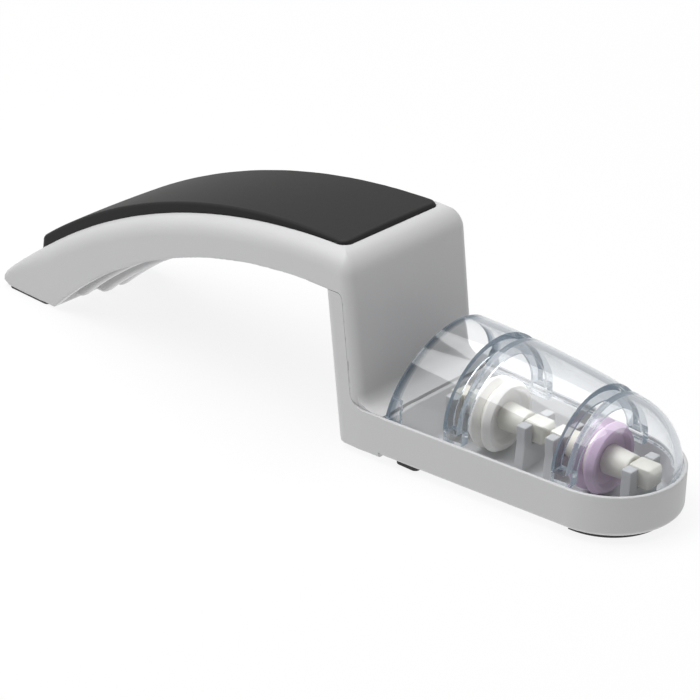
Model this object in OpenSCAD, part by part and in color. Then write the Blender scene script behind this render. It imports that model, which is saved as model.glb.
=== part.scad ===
/* [Overall] */
// Length from the tip of the handle to the nose of the tray
overall_l = 237.4; // [224:0.2:256]
// Width across the column
column_w = 49.8; // [48:0.2:54]
// Height of the top of the column above the surface it stands on
top_z = 57.1; // [56:0.1:59]

/* [Handle] */
// Width of the handle at its tip
tip_w = 39.6; // [34:0.2:44]
// Height at which the upper arc of the handle reaches the tip
tip_z = 4.5; // [3.5:0.1:6]
// How far the end face of the handle leans out beyond its foot
tip_lean = 2.4; // [1:0.2:3]
// Rounding of the two corners at the tip
tip_corner_r = 1.2; // [0.8:0.2:2]
// Distance from the column's front face back to where the arch starts
arch_back = 13.4; // [13:0.1:13.8]
// Height of the underside of the arch at the column
arch_z = 46; // [44:0.1:48]
// Wall of the handle's channel
handle_wall = 2.2; // [1.8:0.1:2.6]
// Rounding of the handle's shoulders
shoulder_r = 5.4; // [4:0.2:5.6]
// Number of ribs under the handle
rib_count = 4; // [2:2:4]
// Distance from rib to rib
rib_pitch = 6.7; // [6:0.1:8]
// Thickness of a rib
rib_t = 3.2; // [2:0.2:3.6]
// How far the outer ribs stand out below the side walls
rib_drop = 1; // [0.4:0.1:1.6]
// How much further each rib towards the middle stands out
rib_step = 1.9; // [0:0.1:2.2]
// Height of the ribs' lower ends
rib_end_z = 1.6; // [1.2:0.1:2.4]

/* [Grip pad] */
// Height that the pad stands above the handle at the column
pad_h = 1.3; // [1:0.1:2.2]
// Radius of the pad's upper arc, smaller than the handle's, so it is thicker further back
pad_arc_r = 209.8; // [206:0.2:216]
// Shift of that arc towards the tip
pad_shift = 7.9; // [7:0.1:9]
// Depth of the bed that the pad lies in
pad_bed = 0.8; // [0.5:0.1:1]
// Distance from the pad's edge to the side of the handle
pad_margin = 5.2; // [4.8:0.1:6.4]
// Distance from the tip of the handle to the pad
pad_start = 11.8; // [11:0.2:20]
// Rounding of the pad's corners in plan
pad_corner_r = 3; // [2:0.5:5]
// Rounding of the pad's upper edge
pad_edge_r = 1.2; // [0.8:0.1:1.8]

/* [Column] */
// Backward lean of the column in degrees
column_lean = 7.3; // [6:0.1:8]
// Thickness of the column from front to back
column_t = 10; // [9:0.2:11]
// Thickness of the front plate, from the face to the seam
plate_t = 3; // [2.5:0.1:3.4]
// Rounding of the column's upright edges
column_r = 3.5; // [2.5:0.1:4]
// Rounding where the top turns down into the front face
crown_r = 6.4; // [5:0.2:6.8]
// Fillet between the front face and the deck
foot_fillet = 4; // [2:0.5:4.5]
// Width of the seam between the two mouldings
seam = 0.2; // [0.1:0.05:0.3]

/* [Tray] */
// Height of the tray's rim
rim_z = 13.9; // [13.5:0.1:15]
// Height of the tray's underside
under_z = 2.2; // [2:0.1:2.4]
// Thickness of the tray's floor
floor_t = 1.5; // [1.3:0.1:1.6]
// Rounding of the tray's lower edge
under_r = 1.6; // [1:0.1:2]
// Radius of the nose in plan
nose_r = 20.3; // [20:0.1:22]
// Angle at which each side of the tray closes in towards the nose
side_taper = 4; // [3:0.1:4.2]
// Width of the lip that stands outside the cover
lip_w = 1; // [0.8:0.1:1.2]
// Depth of the ledge that the cover stands on, below the rim
ledge_d = 1; // [0.8:0.1:1.4]
// Width of that ledge
ledge_w = 2.4; // [2.2:0.1:2.8]
// Length of the deck between the column and the water basin
deck_l = 7.2; // [6.8:0.1:7.6]
// Slope of the basin's back wall in degrees from upright
basin_slope = 35; // [20:1:45]
// Wall of the hollow column
column_wall = 2.2; // [1.8:0.1:2.6]

/* [Wheels] */
// Distance from the column's front face to the first knife slot
slot_gap = 28.9; // [28.6:0.1:32]
// Distance from the first slot to the second
slot_pitch = 33.9; // [33.8:0.1:38]
// Distance from the second slot to the nose of the tray
nose_gap = 22.8; // [22.7:0.1:24]
// Height of the wheel axles
axle_z = 14; // [14:0.1:14.6]
// Outer radius of a grinding disc
disc_r = 10; // [9.4:0.1:10]
// Thickness of a grinding disc
disc_t = 3.5; // [3.3:0.1:4]
// Depth of the V groove between the two discs
groove_d = 1.8; // [1.2:0.1:2.4]
// Width of the groove's bevel on each disc
groove_w = 1.2; // [1:0.1:1.4]
// Fall of the disc's rim towards its outer face
rim_fall = 1; // [0.4:0.1:1.4]
// Thickness of the spacer between the discs
spacer_t = 0.8; // [0.5:0.1:1.2]
// Depth of the recess in a disc's outer face
recess_d = 1; // [0.5:0.1:1.4]
// Width of the rim round that recess
recess_rim = 1.3; // [1:0.1:1.6]
// Radius of a hub at the disc
hub_r = 4.2; // [3.9:0.1:4.6]
// Radius of a hub at the fork
hub_end_r = 3.6; // [3.3:0.1:3.8]
// Radius of the spigot that centres a disc
spigot_r = 3; // [2.8:0.1:3.2]
// Radius of the axle's journal
journal_r = 2; // [1.6:0.1:2.2]
// Radial clearance of the hub on the journal
journal_fit = 0.06; // [0.03:0.01:0.1]
// Gap between a turning piece and what stands beside it
run_gap = 0.3; // [0.2:0.05:0.4]
// Width of the square axle end
block_w = 6.4; // [5.8:0.1:6.6]
// Length of the square end beyond its fork
block_l = 3.9; // [3:0.1:4.1]
// Length of the end cap beyond its fork
cap_l = 1.2; // [0.8:0.1:1.4]
// Bevel round the end of the square block
block_bevel = 1.1; // [0.5:0.1:1.4]

/* [Forks] */
// Distance from the wheel's middle to the fork's inner face
fork_x = 10.7; // [10.5:0.1:10.8]
// Thickness of a fork
fork_t = 3; // [2.4:0.1:3.2]
// Width of one prong
prong_w = 3.2; // [2.6:0.1:3.6]
// Height of the prongs above the axle
prong_h = 2.8; // [2:0.1:3.2]
// Side clearance of the square end in the fork
fork_fit = 0.1; // [0.05:0.05:0.2]

/* [Cover] */
// Wall of the cover
cover_t = 2; // [1.8:0.1:2.1]
// Clearance between the cover and the tray's lip
cover_fit = 0.3; // [0.25:0.05:0.4]
// Radius of the cover's section where it is highest
cover_top_r = 22.8; // [22.4:0.1:23.2]
// Distance from the column's front face to where the cover is highest
cover_top_gap = 13.6; // [11:0.1:16]
// Fall of the cover's axis towards the nose in degrees
cover_fall = 0.7; // [0.4:0.1:1]
// Forward lean of the cover's open back edge in degrees
cover_lean = 13; // [8:1:16]
// Width of a knife slot
slot_w = 4.3; // [4.2:0.1:4.6]
// Height of the slot's ends above the rim
slot_end = 2.4; // [2:0.2:5]
// Thickness of the walls on either side of a slot
guide_t = 0.8; // [0.8:0.1:1.2]
// Depth of those walls, measured from the outside of the cover
guide_d = 4.6; // [3.5:0.1:5]
// Length of the lug at each foot of the back edge
lug_l = 4.2; // [3:0.1:5]
// Height of that lug above the ledge
lug_h = 6; // [4:0.2:7]
// Thickness of that lug
lug_t = 3.2; // [2.4:0.1:3.6]

/* [Feet and fasteners] */
// Length of the rubber foot under the handle's tip
tip_foot_l = 18.2; // [16:0.2:20]
// Thickness of that foot
tip_foot_t = 0.8; // [0.6:0.1:1]
// Distance from the column's front face to the foot under the tray
mid_foot_gap = 9.9; // [9.6:0.1:11]
// Length of that foot
mid_foot_l = 7.6; // [6:0.2:9]
// Distance from the foot under the middle to the side of the tray
foot_inset = 2.3; // [2:0.1:3]
// Distance from the foot under the nose to the side of the tray
nose_foot_inset = 3.5; // [3:0.1:4]
// Depth of the pockets that the feet are glued into
foot_pocket = 0.6; // [0.4:0.1:0.7]
// Width of the foot under the nose
nose_foot_w = 4; // [3:0.2:5]
// Height of the heel above the surface
heel_z = 1.6; // [1.2:0.1:1.8]
// Length of the heel in front of the column's face
heel_l = 5.2; // [4:0.1:6]
// Distance of each screw from the middle
screw_y = 15; // [12:0.5:16]
// Distance of the screws in front of the column's face
screw_gap = 1; // [0.6:0.1:1.4]
// Length of the screw's shank
screw_l = 6.8; // [6:0.2:7.2]
// Height of the screw's head
screw_head_h = 1.6; // [1.4:0.1:1.8]
// Height of the seat under the screw's head above the heel
screw_seat_h = 2.2; // [2:0.1:2.3]
// Radius of the screw's shank
screw_r = 1.4; // [1.2:0.1:1.5]
// Radius of the screw's head
screw_head_r = 2.7; // [2.4:0.1:2.9]

/* [Hidden] */
$fn = 96;
far = 400;
pad_narrow = 0.35;
eps = 0.01;

abs_grey = [0.74, 0.74, 0.75];
pad_black = [0.16, 0.16, 0.17];
rubber_black = [0.12, 0.12, 0.12];
ivory = [0.90, 0.88, 0.82];
white_ceramic = [0.93, 0.91, 0.88];
pink_ceramic = [0.85, 0.75, 0.86];
clear_plastic = [0.80, 0.87, 0.92, 0.35];
screw_steel = [0.62, 0.63, 0.65];

// Everything at the tray's end is placed from the nose, so the handle takes up a change of length
tip_x = -overall_l / 2;
nose_x = overall_l / 2 - nose_r;
fine_x = overall_l / 2 - nose_gap;
coarse_x = fine_x - slot_pitch;
column_x = coarse_x - slot_gap;
arch_x = column_x - arch_back;
basin_x = column_x + deck_l;
cover_top_x = column_x + cover_top_gap;
mid_foot_x = column_x + mid_foot_gap;
heel_x = column_x + heel_l;
screw_x = column_x + screw_gap;
ledge_z = rim_z - ledge_d;
floor_z = under_z + floor_t;

// Both arcs are level at arch_x and end at the tip and at its foot
upper_arc_x = arch_x + column_t / 2;
upper_arc_r = arc_radius(upper_arc_x - tip_x, top_z - tip_z);
channel_x = tip_x + tip_lean + tip_foot_l + 3.6;
lower_arc_r = arc_radius(arch_x - channel_x, arch_z - tip_foot_t);
handle_taper = atan((column_w - tip_w) / 2 / (upper_arc_x - tip_x));

cover_inset = lip_w + cover_fit;
cover_r = nose_r - cover_inset;
cover_arc_r = (pow(nose_x - cover_top_x, 2) + pow(cover_top_r, 2) - pow(cover_r, 2))
    / (2 * (cover_top_r - cover_r));
slot_low = rim_z + slot_end;
screw_seat_z = heel_z + screw_seat_h;
boss_r = screw_r + 1.6;
band_depth = top_z + 2.9;

function arc_radius(run, rise) = (run * run + rise * rise) / (2 * rise);
function side_y(x, inset) =
    (nose_r - inset) / cos(side_taper) + (nose_x - x) * tan(side_taper);
function fork_starts(c) = [c - fork_x - fork_t, c + fork_x];

// Rectangle with its four corners rounded
module rounded_rect(x0, x1, half_w, r) {
    for (x = [x0 + r, x1 - r], s = [-1, 1])
        translate([x, s * (half_w - r)])
            circle(r = r);
    translate([x0 + r, -half_w])
        square([x1 - x0 - 2 * r, 2 * half_w]);
    translate([x0, r - half_w])
        square([x1 - x0, 2 * half_w - 2 * r]);
}

// Plan of the tray from x0 to the nose, drawn in by inset
module tray_plan(x0, inset) {
    tangent_x = nose_x + (nose_r - inset) * sin(side_taper);
    intersection() {
        union() {
            polygon([
                [x0, side_y(x0, inset)],
                [tangent_x, side_y(tangent_x, inset)],
                [tangent_x, -side_y(tangent_x, inset)],
                [x0, -side_y(x0, inset)]
            ]);
            translate([nose_x, 0])
                circle(r = nose_r - inset);
        }
        translate([x0, inset - column_w / 2])
            square([far, column_w - 2 * inset]);
    }
}

// Extrusion of a side view across the whole width
module across(width) {
    rotate([90, 0, 0])
        translate([0, 0, -width / 2])
            linear_extrude(width)
                children();
}

// Curved band of the handle: two mirrored halves, each turned by the taper
module arch_band(r_in, r_out, half_w, corner) {
    for (m = [0, 1])
        mirror([0, m, 0])
            intersection() {
                translate([upper_arc_x, 0, top_z - upper_arc_r])
                    rotate([0, 0, handle_taper])
                        rotate([-90, 0, 0])
                            rotate_extrude(angle = 56, start = -140, $fn = 200)
                                band_section(r_in, r_out, half_w, corner);
                translate([-far / 2, 0, -far / 2])
                    cube(far);
            }
}

module band_section(r_in, r_out, half_w, corner) {
    translate([r_in, -half_w])
        square([r_out - r_in, 2 * half_w - corner]);
    translate([r_in, -half_w])
        square([r_out - r_in - corner, 2 * half_w]);
    translate([r_out - corner, half_w - corner])
        circle(r = corner);
}

// Leaning block of the column between two depths behind its front face
module column_block(front, back, inset) {
    translate([column_x, 0, rim_z])
        rotate([0, -column_lean, 0])
            translate([0, 0, -far / 2])
                linear_extrude(far)
                    rounded_rect(-back, -front, column_w / 2 - inset, column_r - min(inset, 2));
}

// Side view of all that lies behind the column's front face, with the rounded crown
module crown_view(inset) {
    r = crown_r - inset;
    cz = top_z - crown_r;
    cx = column_x - (crown_r + (cz - rim_z) * sin(column_lean)) / cos(column_lean);
    low_x = column_x - inset / cos(column_lean) + (rim_z + 50) * tan(column_lean);
    polygon([
        [-far / 2, -50],
        [low_x, -50],
        [cx + r * cos(column_lean), cz + r * sin(column_lean)],
        [cx, cz + r],
        [-far / 2, cz + r]
    ]);
    translate([cx, cz])
        circle(r = r);
}

// Outline of the handle from the side: under the upper arc, above the lower one
module handle_view() {
    difference() {
        intersection() {
            translate([upper_arc_x, top_z - upper_arc_r])
                circle(r = upper_arc_r + 1, $fn = 360);
            polygon([
                [tip_x, tip_z / 2],
                [tip_x + tip_lean, tip_foot_t],
                [column_x, tip_foot_t],
                [column_x, far],
                [tip_x, far]
            ]);
        }
        translate([arch_x, arch_z - lower_arc_r])
            circle(r = lower_arc_r, $fn = 360);
        translate([arch_x, -eps])
            square([far, arch_z + eps]);
    }
}

// Side view of the hollow inside the handle and the head of the column
module channel_view() {
    difference() {
        intersection() {
            crown_view(plate_t);
            translate([channel_x + 0.4, 0])
                square([far, far]);
        }
        translate([-far, -far])
            square([far, far]);
    }
}

module upper_housing() {
    color(abs_grey) {
        difference() {
            intersection() {
                arch_band(upper_arc_r - band_depth, upper_arc_r, column_w / 2, shoulder_r);
                across(far)
                    handle_view();
                across(far)
                    crown_view(0);
                column_block(0, far / 2, 0);
            }
            intersection() {
                arch_band(
                    upper_arc_r - band_depth - 1, upper_arc_r - handle_wall - pad_bed,
                    column_w / 2 - handle_wall, shoulder_r - handle_wall
                );
                across(far)
                    channel_view();
            }
            pad_form(0.05);
            tip_corners();
        }
        handle_ribs();
        front_plate();
        deck_plate();
        for (s = [-1, 1])
            translate([screw_x, s * screw_y, 0])
                screw_boss();
    }
}

// What is cut away to round the handle's two corners at the tip
module tip_corners() {
    for (m = [0, 1])
        mirror([0, m, 0])
            linear_extrude(far)
                difference() {
                    translate([tip_x - 1, tip_w / 2 - tip_corner_r])
                        square([tip_corner_r + 1, tip_corner_r + 2]);
                    translate([tip_x + tip_corner_r, tip_w / 2 - tip_corner_r])
                        circle(r = tip_corner_r);
                }
}

// Ribs that run along under the handle, lower towards the middle
module handle_ribs() {
    middle = (rib_count - 1) / 2;
    intersection() {
        arch_band(
            upper_arc_r - band_depth, upper_arc_r - handle_wall - pad_bed + 0.2,
            column_w / 2 - handle_wall, shoulder_r - handle_wall
        );
        union() {
            for (i = [0 : rib_count - 1])
                translate([0, (i - middle) * rib_pitch, 0])
                    across(rib_t)
                        rib_view(rib_drop + rib_step * (middle - abs(i - middle)));
        }
    }
}

// Side view of a rib that stands out below the side walls by drop, up to the column's back
module rib_view(drop) {
    back_x = column_x - column_t / cos(column_lean) - (arch_z - rim_z) * tan(column_lean) - 0.5;
    difference() {
        intersection() {
            translate([upper_arc_x, top_z - upper_arc_r])
                circle(r = upper_arc_r + 1, $fn = 360);
            polygon([
                [channel_x, rib_end_z],
                [back_x, rib_end_z],
                [back_x, arch_z],
                [arch_x + 4, arch_z],
                [arch_x + 4, far],
                [channel_x, far]
            ]);
        }
        translate([arch_x, arch_z - lower_arc_r])
            circle(r = lower_arc_r - drop, $fn = 360);
    }
}

// Plate that closes the column's front and curves out into the deck
module front_plate() {
    intersection() {
        column_block(0, far / 2, 0);
        across(far)
            crown_view(0);
        difference() {
            column_block(0, far / 2, 0);
            across(far)
                crown_view(plate_t);
        }
        translate([0, -far / 2, rim_z + seam])
            cube([far, far, arch_z - rim_z + 1]);
    }
}

module deck_plate() {
    foot_x = column_x + foot_fillet * tan(45 - column_lean / 2);
    back_x = column_x - plate_t;
    intersection() {
        translate([0, 0, ledge_z])
            linear_extrude(20)
                tray_plan(back_x, lip_w + seam / 2);
        across(far)
            difference() {
                polygon([
                    [back_x, ledge_z],
                    [basin_x - cover_fit, ledge_z],
                    [basin_x - cover_fit, rim_z],
                    [foot_x, rim_z],
                    [column_x - foot_fillet * sin(column_lean), rim_z + foot_fillet],
                    [back_x, rim_z + foot_fillet]
                ]);
                translate([foot_x, rim_z + foot_fillet])
                    circle(r = foot_fillet);
            }
    }
}

module screw_boss() {
    difference() {
        translate([0, 0, screw_seat_z + 1.2])
            cylinder(r = boss_r, h = ledge_z - screw_seat_z - 1);
        translate([0, 0, screw_seat_z])
            cylinder(r = screw_r + 0.05, h = screw_l + 0.8);
    }
}

// Full body of the pad, grown by a clearance for its bed
module pad_form(grow) {
    half_w = column_w / 2 - pad_margin - pad_narrow + grow;
    x0 = tip_x + pad_start - grow;
    x1 = column_x - (top_z - rim_z) * tan(column_lean) - pad_margin - 0.1 + grow;
    rise = upper_arc_r + pad_h - sqrt(pow(pad_arc_r, 2) - pow(pad_shift, 2));
    difference() {
        intersection() {
            translate([-pad_shift, 0, rise])
                arch_band(pad_arc_r - 16, pad_arc_r, half_w, pad_edge_r);
            linear_extrude(far)
                tapered_plan(x0, x1, half_w + 0.6, pad_corner_r);
        }
        translate([upper_arc_x, far / 2, top_z - upper_arc_r])
            rotate([90, 0, 0])
                cylinder(r = upper_arc_r - pad_bed - grow, h = far, $fn = 360);
    }
}

// Plan with sides that follow the handle's taper and four rounded corners
module tapered_plan(x0, x1, half_w, r) {
    y0 = half_w - (upper_arc_x - x0) * tan(handle_taper) - r;
    y1 = half_w - (upper_arc_x - x1) * tan(handle_taper) - r;
    offset(r = r)
        polygon([[x0 + r, y0], [x1 - r, y1], [x1 - r, -y1], [x0 + r, -y0]]);
}

module grip_pad() {
    color(pad_black)
        pad_form(0);
}

module lower_housing() {
    color(abs_grey) {
        difference() {
            union() {
                tray_shell();
                column_back();
            }
            column_hollow();
            translate([0, 0, ledge_z])
                linear_extrude(far)
                    tray_plan(column_x - plate_t - 2, lip_w);
            foot_pockets();
            for (s = [-1, 1])
                translate([screw_x, s * screw_y, 0])
                    screw_hole();
        }
        for (c = [coarse_x, fine_x], x = fork_starts(c))
            translate([x, 0, 0])
                fork();
    }
}

// Tray with its basin, before the ledge and the pockets are cut
module tray_shell() {
    difference() {
        hull() {
            translate([0, 0, under_z + under_r])
                linear_extrude(rim_z - under_z - under_r)
                    tray_plan(column_x - plate_t, 0);
            translate([0, 0, under_z + under_r * 0.3])
                linear_extrude(1)
                    tray_plan(column_x - plate_t, under_r * 0.3);
            translate([0, 0, under_z])
                linear_extrude(1)
                    tray_plan(column_x - plate_t, under_r);
        }
        intersection() {
            translate([0, 0, floor_z])
                linear_extrude(far)
                    tray_plan(basin_x, lip_w + ledge_w);
            translate([basin_x, -far / 2, rim_z])
                rotate([0, -90 - basin_slope, 0])
                    translate([-far / 2, 0, -far])
                        cube([far, far, far]);
        }
    }
}

// Back and sides of the column, down to the heel
module column_back() {
    intersection() {
        column_block(0, column_t, 0);
        difference() {
            across(far)
                crown_view(plate_t + seam);
            translate([-far / 2, -far / 2, arch_z - seam])
                cube(far);
        }
        across(far)
            heel_view();
    }
    intersection() {
        translate([0, 0, heel_z])
            linear_extrude(rim_z - heel_z)
                tray_plan(column_x - column_t, 0);
        across(far)
            heel_view();
        translate([-far / 2, -far / 2, heel_z])
            cube([far / 2 + heel_x, far, ledge_z - heel_z]);
        column_block(-20, column_t, 0);
    }
}

// Side view of all that lies above the heel, with its rounded back corner
module heel_view() {
    r = 4;
    cz = heel_z + r;
    cx = column_x - column_t / cos(column_lean) + (rim_z - cz) * tan(column_lean) + r;
    translate([cx, heel_z])
        square([far, far]);
    translate([cx - far, cz])
        square([2 * far, far]);
    translate([cx, cz])
        circle(r = r);
}

// Room inside the column and below the deck plate
module column_hollow() {
    intersection() {
        column_block(plate_t - 2, column_t - column_wall, column_wall);
        translate([-far / 2, -far / 2, screw_seat_z + 1])
            cube(far);
    }
    translate([column_x - column_t + 2 * column_wall, -screw_y - 4, screw_seat_z + 1])
        cube([column_t - 2 * column_wall + 5, 2 * screw_y + 8, far]);
}

module screw_hole() {
    translate([0, 0, -1])
        cylinder(r = screw_head_r + 0.2, h = screw_seat_z + 1);
    cylinder(r = screw_r + 0.2, h = screw_seat_z + 6);
}

// Two-pronged fork that carries one end of an axle
module fork() {
    gap = block_w / 2 + fork_fit;
    rest_z = axle_z - block_w / 2;
    for (s = [-1, 1])
        translate([0, s * (gap + prong_w / 2) - prong_w / 2, floor_z - eps])
            cube([fork_t, prong_w, axle_z + prong_h - floor_z + eps]);
    translate([0, -gap - eps, floor_z - eps])
        cube([fork_t, 2 * gap + 2 * eps, rest_z - floor_z + eps]);
}

module tip_foot() {
    color(rubber_black)
        linear_extrude(tip_foot_t)
            tapered_plan(tip_x + tip_lean, tip_x + tip_lean + tip_foot_l, column_w / 2 - 0.2, 1.5);
}

// Plan of the foot under the tray
module mid_foot_plan(grow) {
    w = side_y(mid_foot_x + mid_foot_l, foot_inset);
    rounded_rect(mid_foot_x - grow, mid_foot_x + mid_foot_l + grow, w + grow, 1.5);
}

// Horseshoe plan of the foot under the nose
module nose_foot_plan(grow) {
    r = nose_r - nose_foot_inset;
    translate([nose_x, 0])
        difference() {
            intersection() {
                circle(r = r + grow);
                translate([-grow, -far / 2])
                    square(far);
            }
            circle(r = r - nose_foot_w - grow);
        }
}

module foot_pockets() {
    translate([0, 0, under_z - 2])
        linear_extrude(2 + foot_pocket) {
            mid_foot_plan(0.1);
            nose_foot_plan(0.1);
        }
}

module mid_foot() {
    color(rubber_black)
        linear_extrude(under_z + foot_pocket)
            mid_foot_plan(0);
}

module nose_foot() {
    color(rubber_black)
        linear_extrude(under_z + foot_pocket)
            nose_foot_plan(0);
}

module housing_screws() {
    color(screw_steel)
        for (s = [-1, 1])
            translate([screw_x, s * screw_y, screw_seat_z])
                difference() {
                    union() {
                        translate([0, 0, -screw_head_h])
                            cylinder(r = screw_head_r, h = screw_head_h);
                        cylinder(r = screw_r, h = screw_l);
                    }
                    for (a = [0, 90])
                        rotate([0, 0, a])
                            translate([-screw_r, -screw_r / 4, -2 * screw_head_h])
                                cube([2 * screw_r, screw_r / 2, 1.5 * screw_head_h]);
                }
}

// Section of the cover turned about the body's long axis: a long arc and the nose
module cover_section(inset) {
    r = cover_r - inset;
    join_a = atan2(nose_x - cover_top_x, cover_arc_r - cover_top_r);
    start = basin_x - 8;
    intersection() {
        union() {
            translate([nose_x, 0])
                circle(r = r);
            intersection() {
                translate([cover_top_x, cover_top_r - cover_arc_r])
                    circle(r = cover_arc_r - inset, $fn = 720);
                translate([start, 0])
                    square([nose_x + r * sin(join_a) - start, far]);
            }
        }
        translate([-far / 2, 0])
            square([far, far / 2]);
    }
}

// Solid form of the cover: turned, and upright at the sides where the tray is narrower
module cover_form(inset) {
    start = basin_x - 8;
    side = cover_inset + inset - 0.08;
    intersection() {
        translate([cover_top_x, 0, rim_z])
            rotate([0, 90 + cover_fall, 0])
                rotate_extrude($fn = 180)
                    rotate([0, 0, 90])
                        mirror([0, 1])
                            translate([-cover_top_x, 0])
                                cover_section(inset);
        translate([0, 0, -far / 2])
            linear_extrude(far)
                polygon([
                    [start, side_y(start, side)],
                    [far, side_y(far, side)],
                    [far, -side_y(far, side)],
                    [start, -side_y(start, side)]
                ]);
    }
}

module cover() {
    color(clear_plastic)
        difference() {
            intersection() {
                cover_form(0);
                cover_room();
            }
            difference() {
                cover_form(cover_t);
                for (c = [coarse_x, fine_x])
                    slot_guide(c);
                cover_lugs();
            }
            for (c = [coarse_x, fine_x])
                translate([c - slot_w / 2, -far / 2, slot_low])
                    cube([slot_w, far, far]);
        }
}

// Thicker feet of the back edge, which stop the cover against the deck
module cover_lugs() {
    for (m = [0, 1])
        mirror([0, m, 0])
            translate([basin_x - 1, side_y(basin_x, cover_inset) - lug_t, 0])
                cube([lug_l + 1, far, ledge_z + lug_h]);
}

// Space of the cover: above the ledge and in front of its leaning back edge
module cover_room() {
    intersection() {
        translate([basin_x, -far / 2, ledge_z])
            rotate([0, cover_lean, 0])
                translate([0, 0, -far / 2])
                    cube([far, far, far]);
        translate([0, -far / 2, ledge_z])
            cube([far, far, far]);
    }
}

// Ring that stands inside the cover on both sides of a slot
module slot_guide(c) {
    w = slot_w / 2 + guide_t;
    translate([c - w, 0, rim_z])
        rotate([0, 90, 0])
            difference() {
                cylinder(r = far / 8, h = 2 * w);
                translate([0, 0, -1])
                    cylinder(r = side_y(c, cover_inset) - guide_d, h = 2 * w + 2);
            }
}

module axle(c) {
    start = c + fork_x - run_gap;
    end = c + fork_x + fork_t + block_l;
    color(ivory) {
        translate([c - fork_x - fork_t, 0, axle_z])
            rotate([0, 90, 0])
                cylinder(r = journal_r, h = start - c + fork_x + fork_t);
        hull() {
            translate([start, -block_w / 2, axle_z - block_w / 2])
                cube([end - start - block_bevel, block_w, block_w]);
            translate([end - 1, block_bevel - block_w / 2, axle_z - block_w / 2 + block_bevel])
                cube([1, block_w - 2 * block_bevel, block_w - 2 * block_bevel]);
        }
    }
}

module end_cap(c) {
    start = c - fork_x - fork_t - cap_l;
    color(ivory)
        difference() {
            translate([start, -block_w / 2, axle_z - block_w / 2])
                cube([cap_l + fork_t + run_gap, block_w, block_w]);
            translate([c - fork_x - fork_t, 0, axle_z])
                rotate([0, 90, 0])
                    cylinder(r = journal_r + 0.02, h = fork_t + 1);
        }
}

// Half of the hub: cone outside the disc, spigot through it, bored for the journal
module hub(c, s) {
    face = spacer_t / 2 + disc_t - recess_d;
    color(ivory)
        translate([c, 0, axle_z])
            rotate([0, s * 90, 0])
                difference() {
                    union() {
                        translate([0, 0, face])
                            cylinder(
                                r1 = hub_r, r2 = hub_end_r,
                                h = fork_x - 2 * run_gap - face
                            );
                        translate([0, 0, spacer_t / 2])
                            cylinder(r = spigot_r, h = face - spacer_t / 2);
                    }
                    translate([0, 0, -1])
                        cylinder(r = journal_r + journal_fit, h = fork_x + 2);
                }
}

// Grinding disc: bored for the spigot, bevelled towards its twin, recessed outside
module disc(c, s, tint) {
    color(tint)
        translate([c, 0, axle_z])
            rotate([0, s * 90, 0])
                rotate_extrude()
                    disc_section();
}

module disc_section() {
    inner = spacer_t / 2;
    outer = inner + disc_t;
    face_r = disc_r - rim_fall;
    polygon([
        [spigot_r + 0.03, inner],
        [disc_r - groove_d, inner],
        [disc_r, inner + groove_w],
        [disc_r, inner + groove_w + 0.5],
        [face_r, outer],
        [face_r - recess_rim, outer],
        [face_r - recess_rim - 0.4, outer - recess_d],
        [spigot_r + 0.03, outer - recess_d]
    ]);
}

module spacer(c) {
    color(ivory)
        translate([c - spacer_t / 2, 0, axle_z])
            rotate([0, 90, 0])
                difference() {
                    cylinder(r = disc_r - groove_d - 0.3, h = spacer_t);
                    translate([0, 0, -1])
                        cylinder(r = journal_r + journal_fit, h = spacer_t + 2);
                }
}

lower_housing();
upper_housing();
grip_pad();
tip_foot();
mid_foot();
nose_foot();
housing_screws();
cover();
axle(coarse_x);  // coarse_axle
end_cap(coarse_x);  // coarse_end_cap
hub(coarse_x, -1);  // coarse_hub_left
hub(coarse_x, 1);  // coarse_hub_right
disc(coarse_x, -1, white_ceramic);  // coarse_disc_left
disc(coarse_x, 1, white_ceramic);  // coarse_disc_right
spacer(coarse_x);  // coarse_spacer
axle(fine_x);  // fine_axle
end_cap(fine_x);  // fine_end_cap
hub(fine_x, -1);  // fine_hub_left
hub(fine_x, 1);  // fine_hub_right
disc(fine_x, -1, pink_ceramic);  // fine_disc_left
disc(fine_x, 1, pink_ceramic);  // fine_disc_right
spacer(fine_x);  // fine_spacer
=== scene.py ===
import math

import bmesh
import bpy
import numpy as np
from mathutils import Matrix, Vector


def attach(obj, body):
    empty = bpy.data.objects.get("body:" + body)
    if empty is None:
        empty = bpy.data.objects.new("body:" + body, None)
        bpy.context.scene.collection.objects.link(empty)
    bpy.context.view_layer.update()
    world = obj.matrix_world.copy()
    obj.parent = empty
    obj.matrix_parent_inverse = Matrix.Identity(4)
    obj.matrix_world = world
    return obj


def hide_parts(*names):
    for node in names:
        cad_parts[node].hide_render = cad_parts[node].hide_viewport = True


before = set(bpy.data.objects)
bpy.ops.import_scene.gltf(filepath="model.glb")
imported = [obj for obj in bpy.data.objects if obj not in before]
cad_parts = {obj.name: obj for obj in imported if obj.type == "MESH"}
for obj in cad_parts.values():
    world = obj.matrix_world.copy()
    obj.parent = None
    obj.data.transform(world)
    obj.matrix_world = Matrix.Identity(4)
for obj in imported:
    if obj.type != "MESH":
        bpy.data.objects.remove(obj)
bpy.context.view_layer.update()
MM = 0.001

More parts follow.
